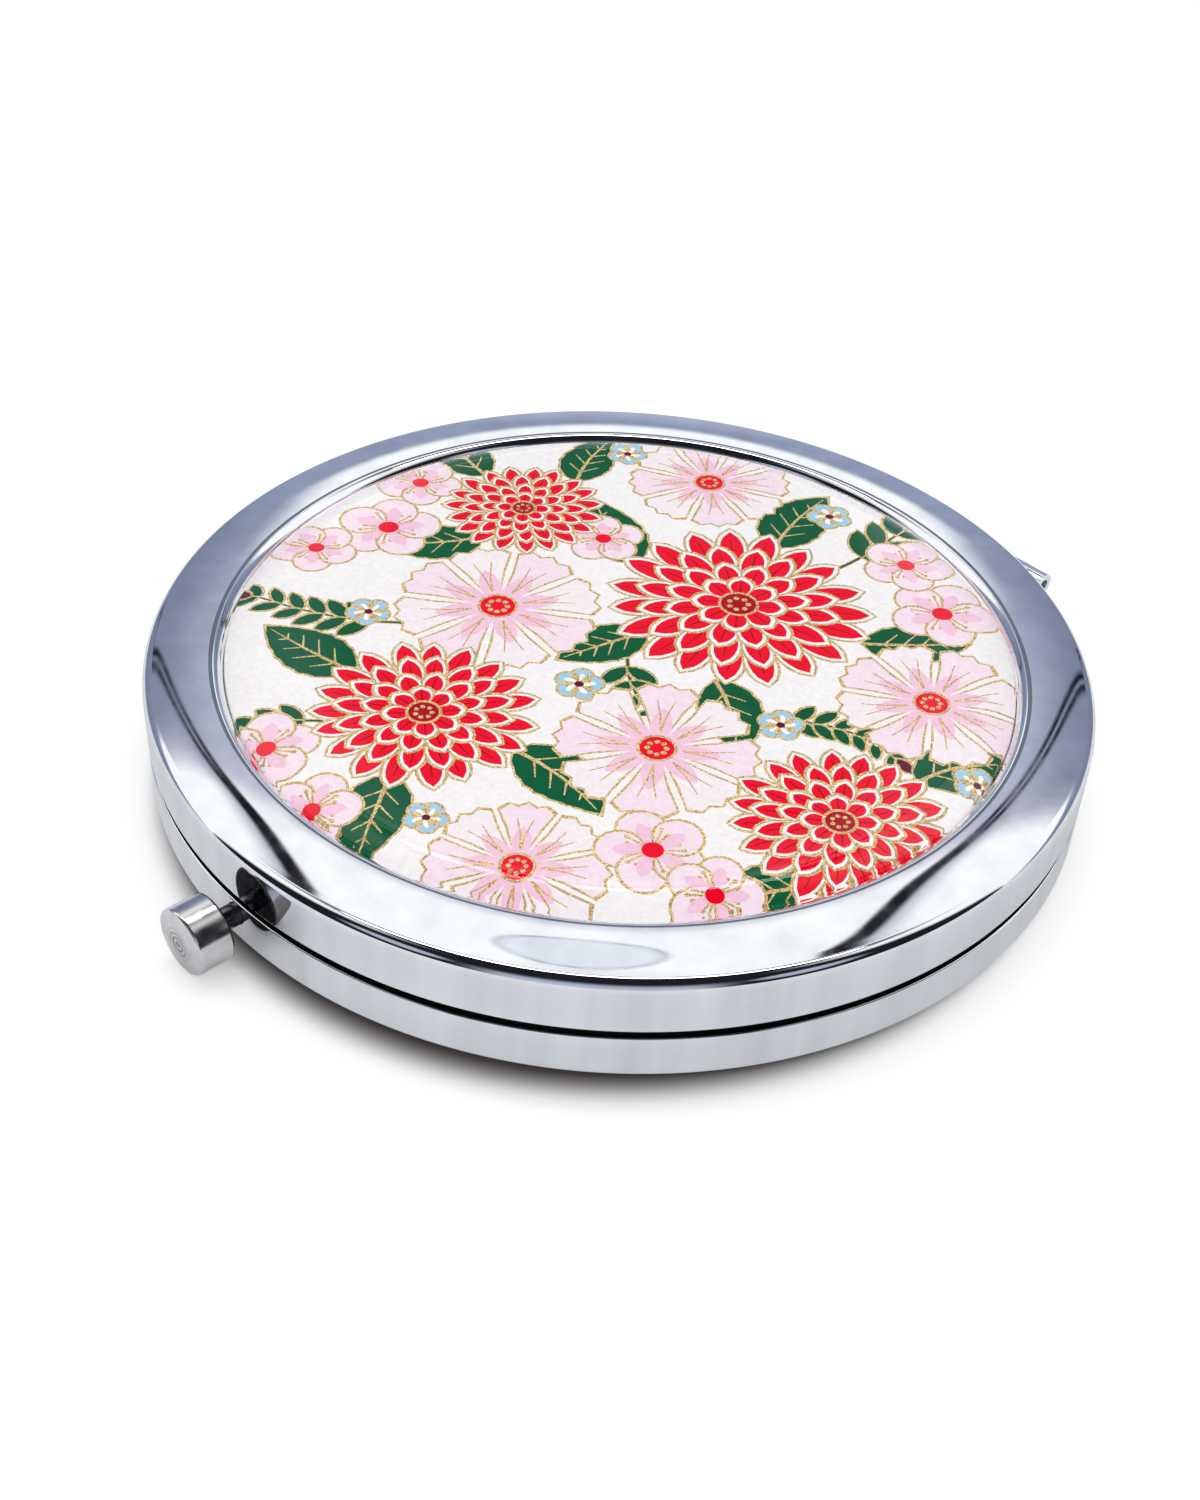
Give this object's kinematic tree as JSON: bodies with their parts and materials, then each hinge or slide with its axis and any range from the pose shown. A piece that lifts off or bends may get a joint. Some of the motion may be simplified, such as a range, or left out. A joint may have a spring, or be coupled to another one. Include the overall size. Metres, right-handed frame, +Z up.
{
  "type": "compact mirror",
  "caption": "Round hinged pocket compact with a mirror in each half, a push-button catch, and a recessed lid that holds a printed disc under a clear dome.",
  "frame": {"origin": "centre of the flat bottom that the case rests on", "axes": "+Z up through the closed case, -Y towards the push button, +Y towards the hinge, +X along the hinge"},
  "size_m": [0.07, 0.0776, 0.0098],
  "materials": {
    "plated_steel": "mirror-bright plating",
    "turned_steel": "turned and plated",
    "plain_steel": "satin",
    "spring_steel": "drawn wire",
    "frame_plastic": "satin black",
    "mirror_glass": "silvered glass",
    "foam_tape": "double-sided foam",
    "adhesive_film": "clear film",
    "print_paper": "printed",
    "clear_resin": "clear domed resin"
  },
  "bodies": {
    "base": {"base_shell": "plated_steel", "base_frame": "frame_plastic", "base_mirror_tape": "foam_tape", "base_mirror": "mirror_glass", "base_hinge_leaf": "plated_steel", "hinge_pin": "plain_steel", "catch_spring": "spring_steel", "latch_cover": "plain_steel", "cover_rivets": "plain_steel"},
    "lid": {"lid_shell": "plated_steel", "tray_adhesive": "adhesive_film", "printed_disc": "print_paper", "resin_dome": "clear_resin", "lid_frame": "frame_plastic", "lid_mirror_tape": "foam_tape", "lid_mirror": "mirror_glass", "lid_hinge_leaf": "plated_steel", "catch_hook": "plain_steel", "hook_rivets": "plain_steel"},
    "button": {"push_button": "turned_steel", "retaining_clip": "spring_steel"}
  },
  "joints": [
    {"name": "lid_hinge", "type": "hinge", "parent": "base", "child": "lid", "pos_m": [0, 0.0371, 0.00415], "axis": [-1, 0, 0], "range_deg": [0, 175], "deforming": ["catch_spring"]},
    {"name": "button_press", "type": "slide", "parent": "base", "child": "button", "axis": [0, 1, 0], "range_m": [0, 0.001], "stiffness_N_per_m": 1500, "springref_m": -0.0007, "deforming": ["catch_spring"]}
  ]
}
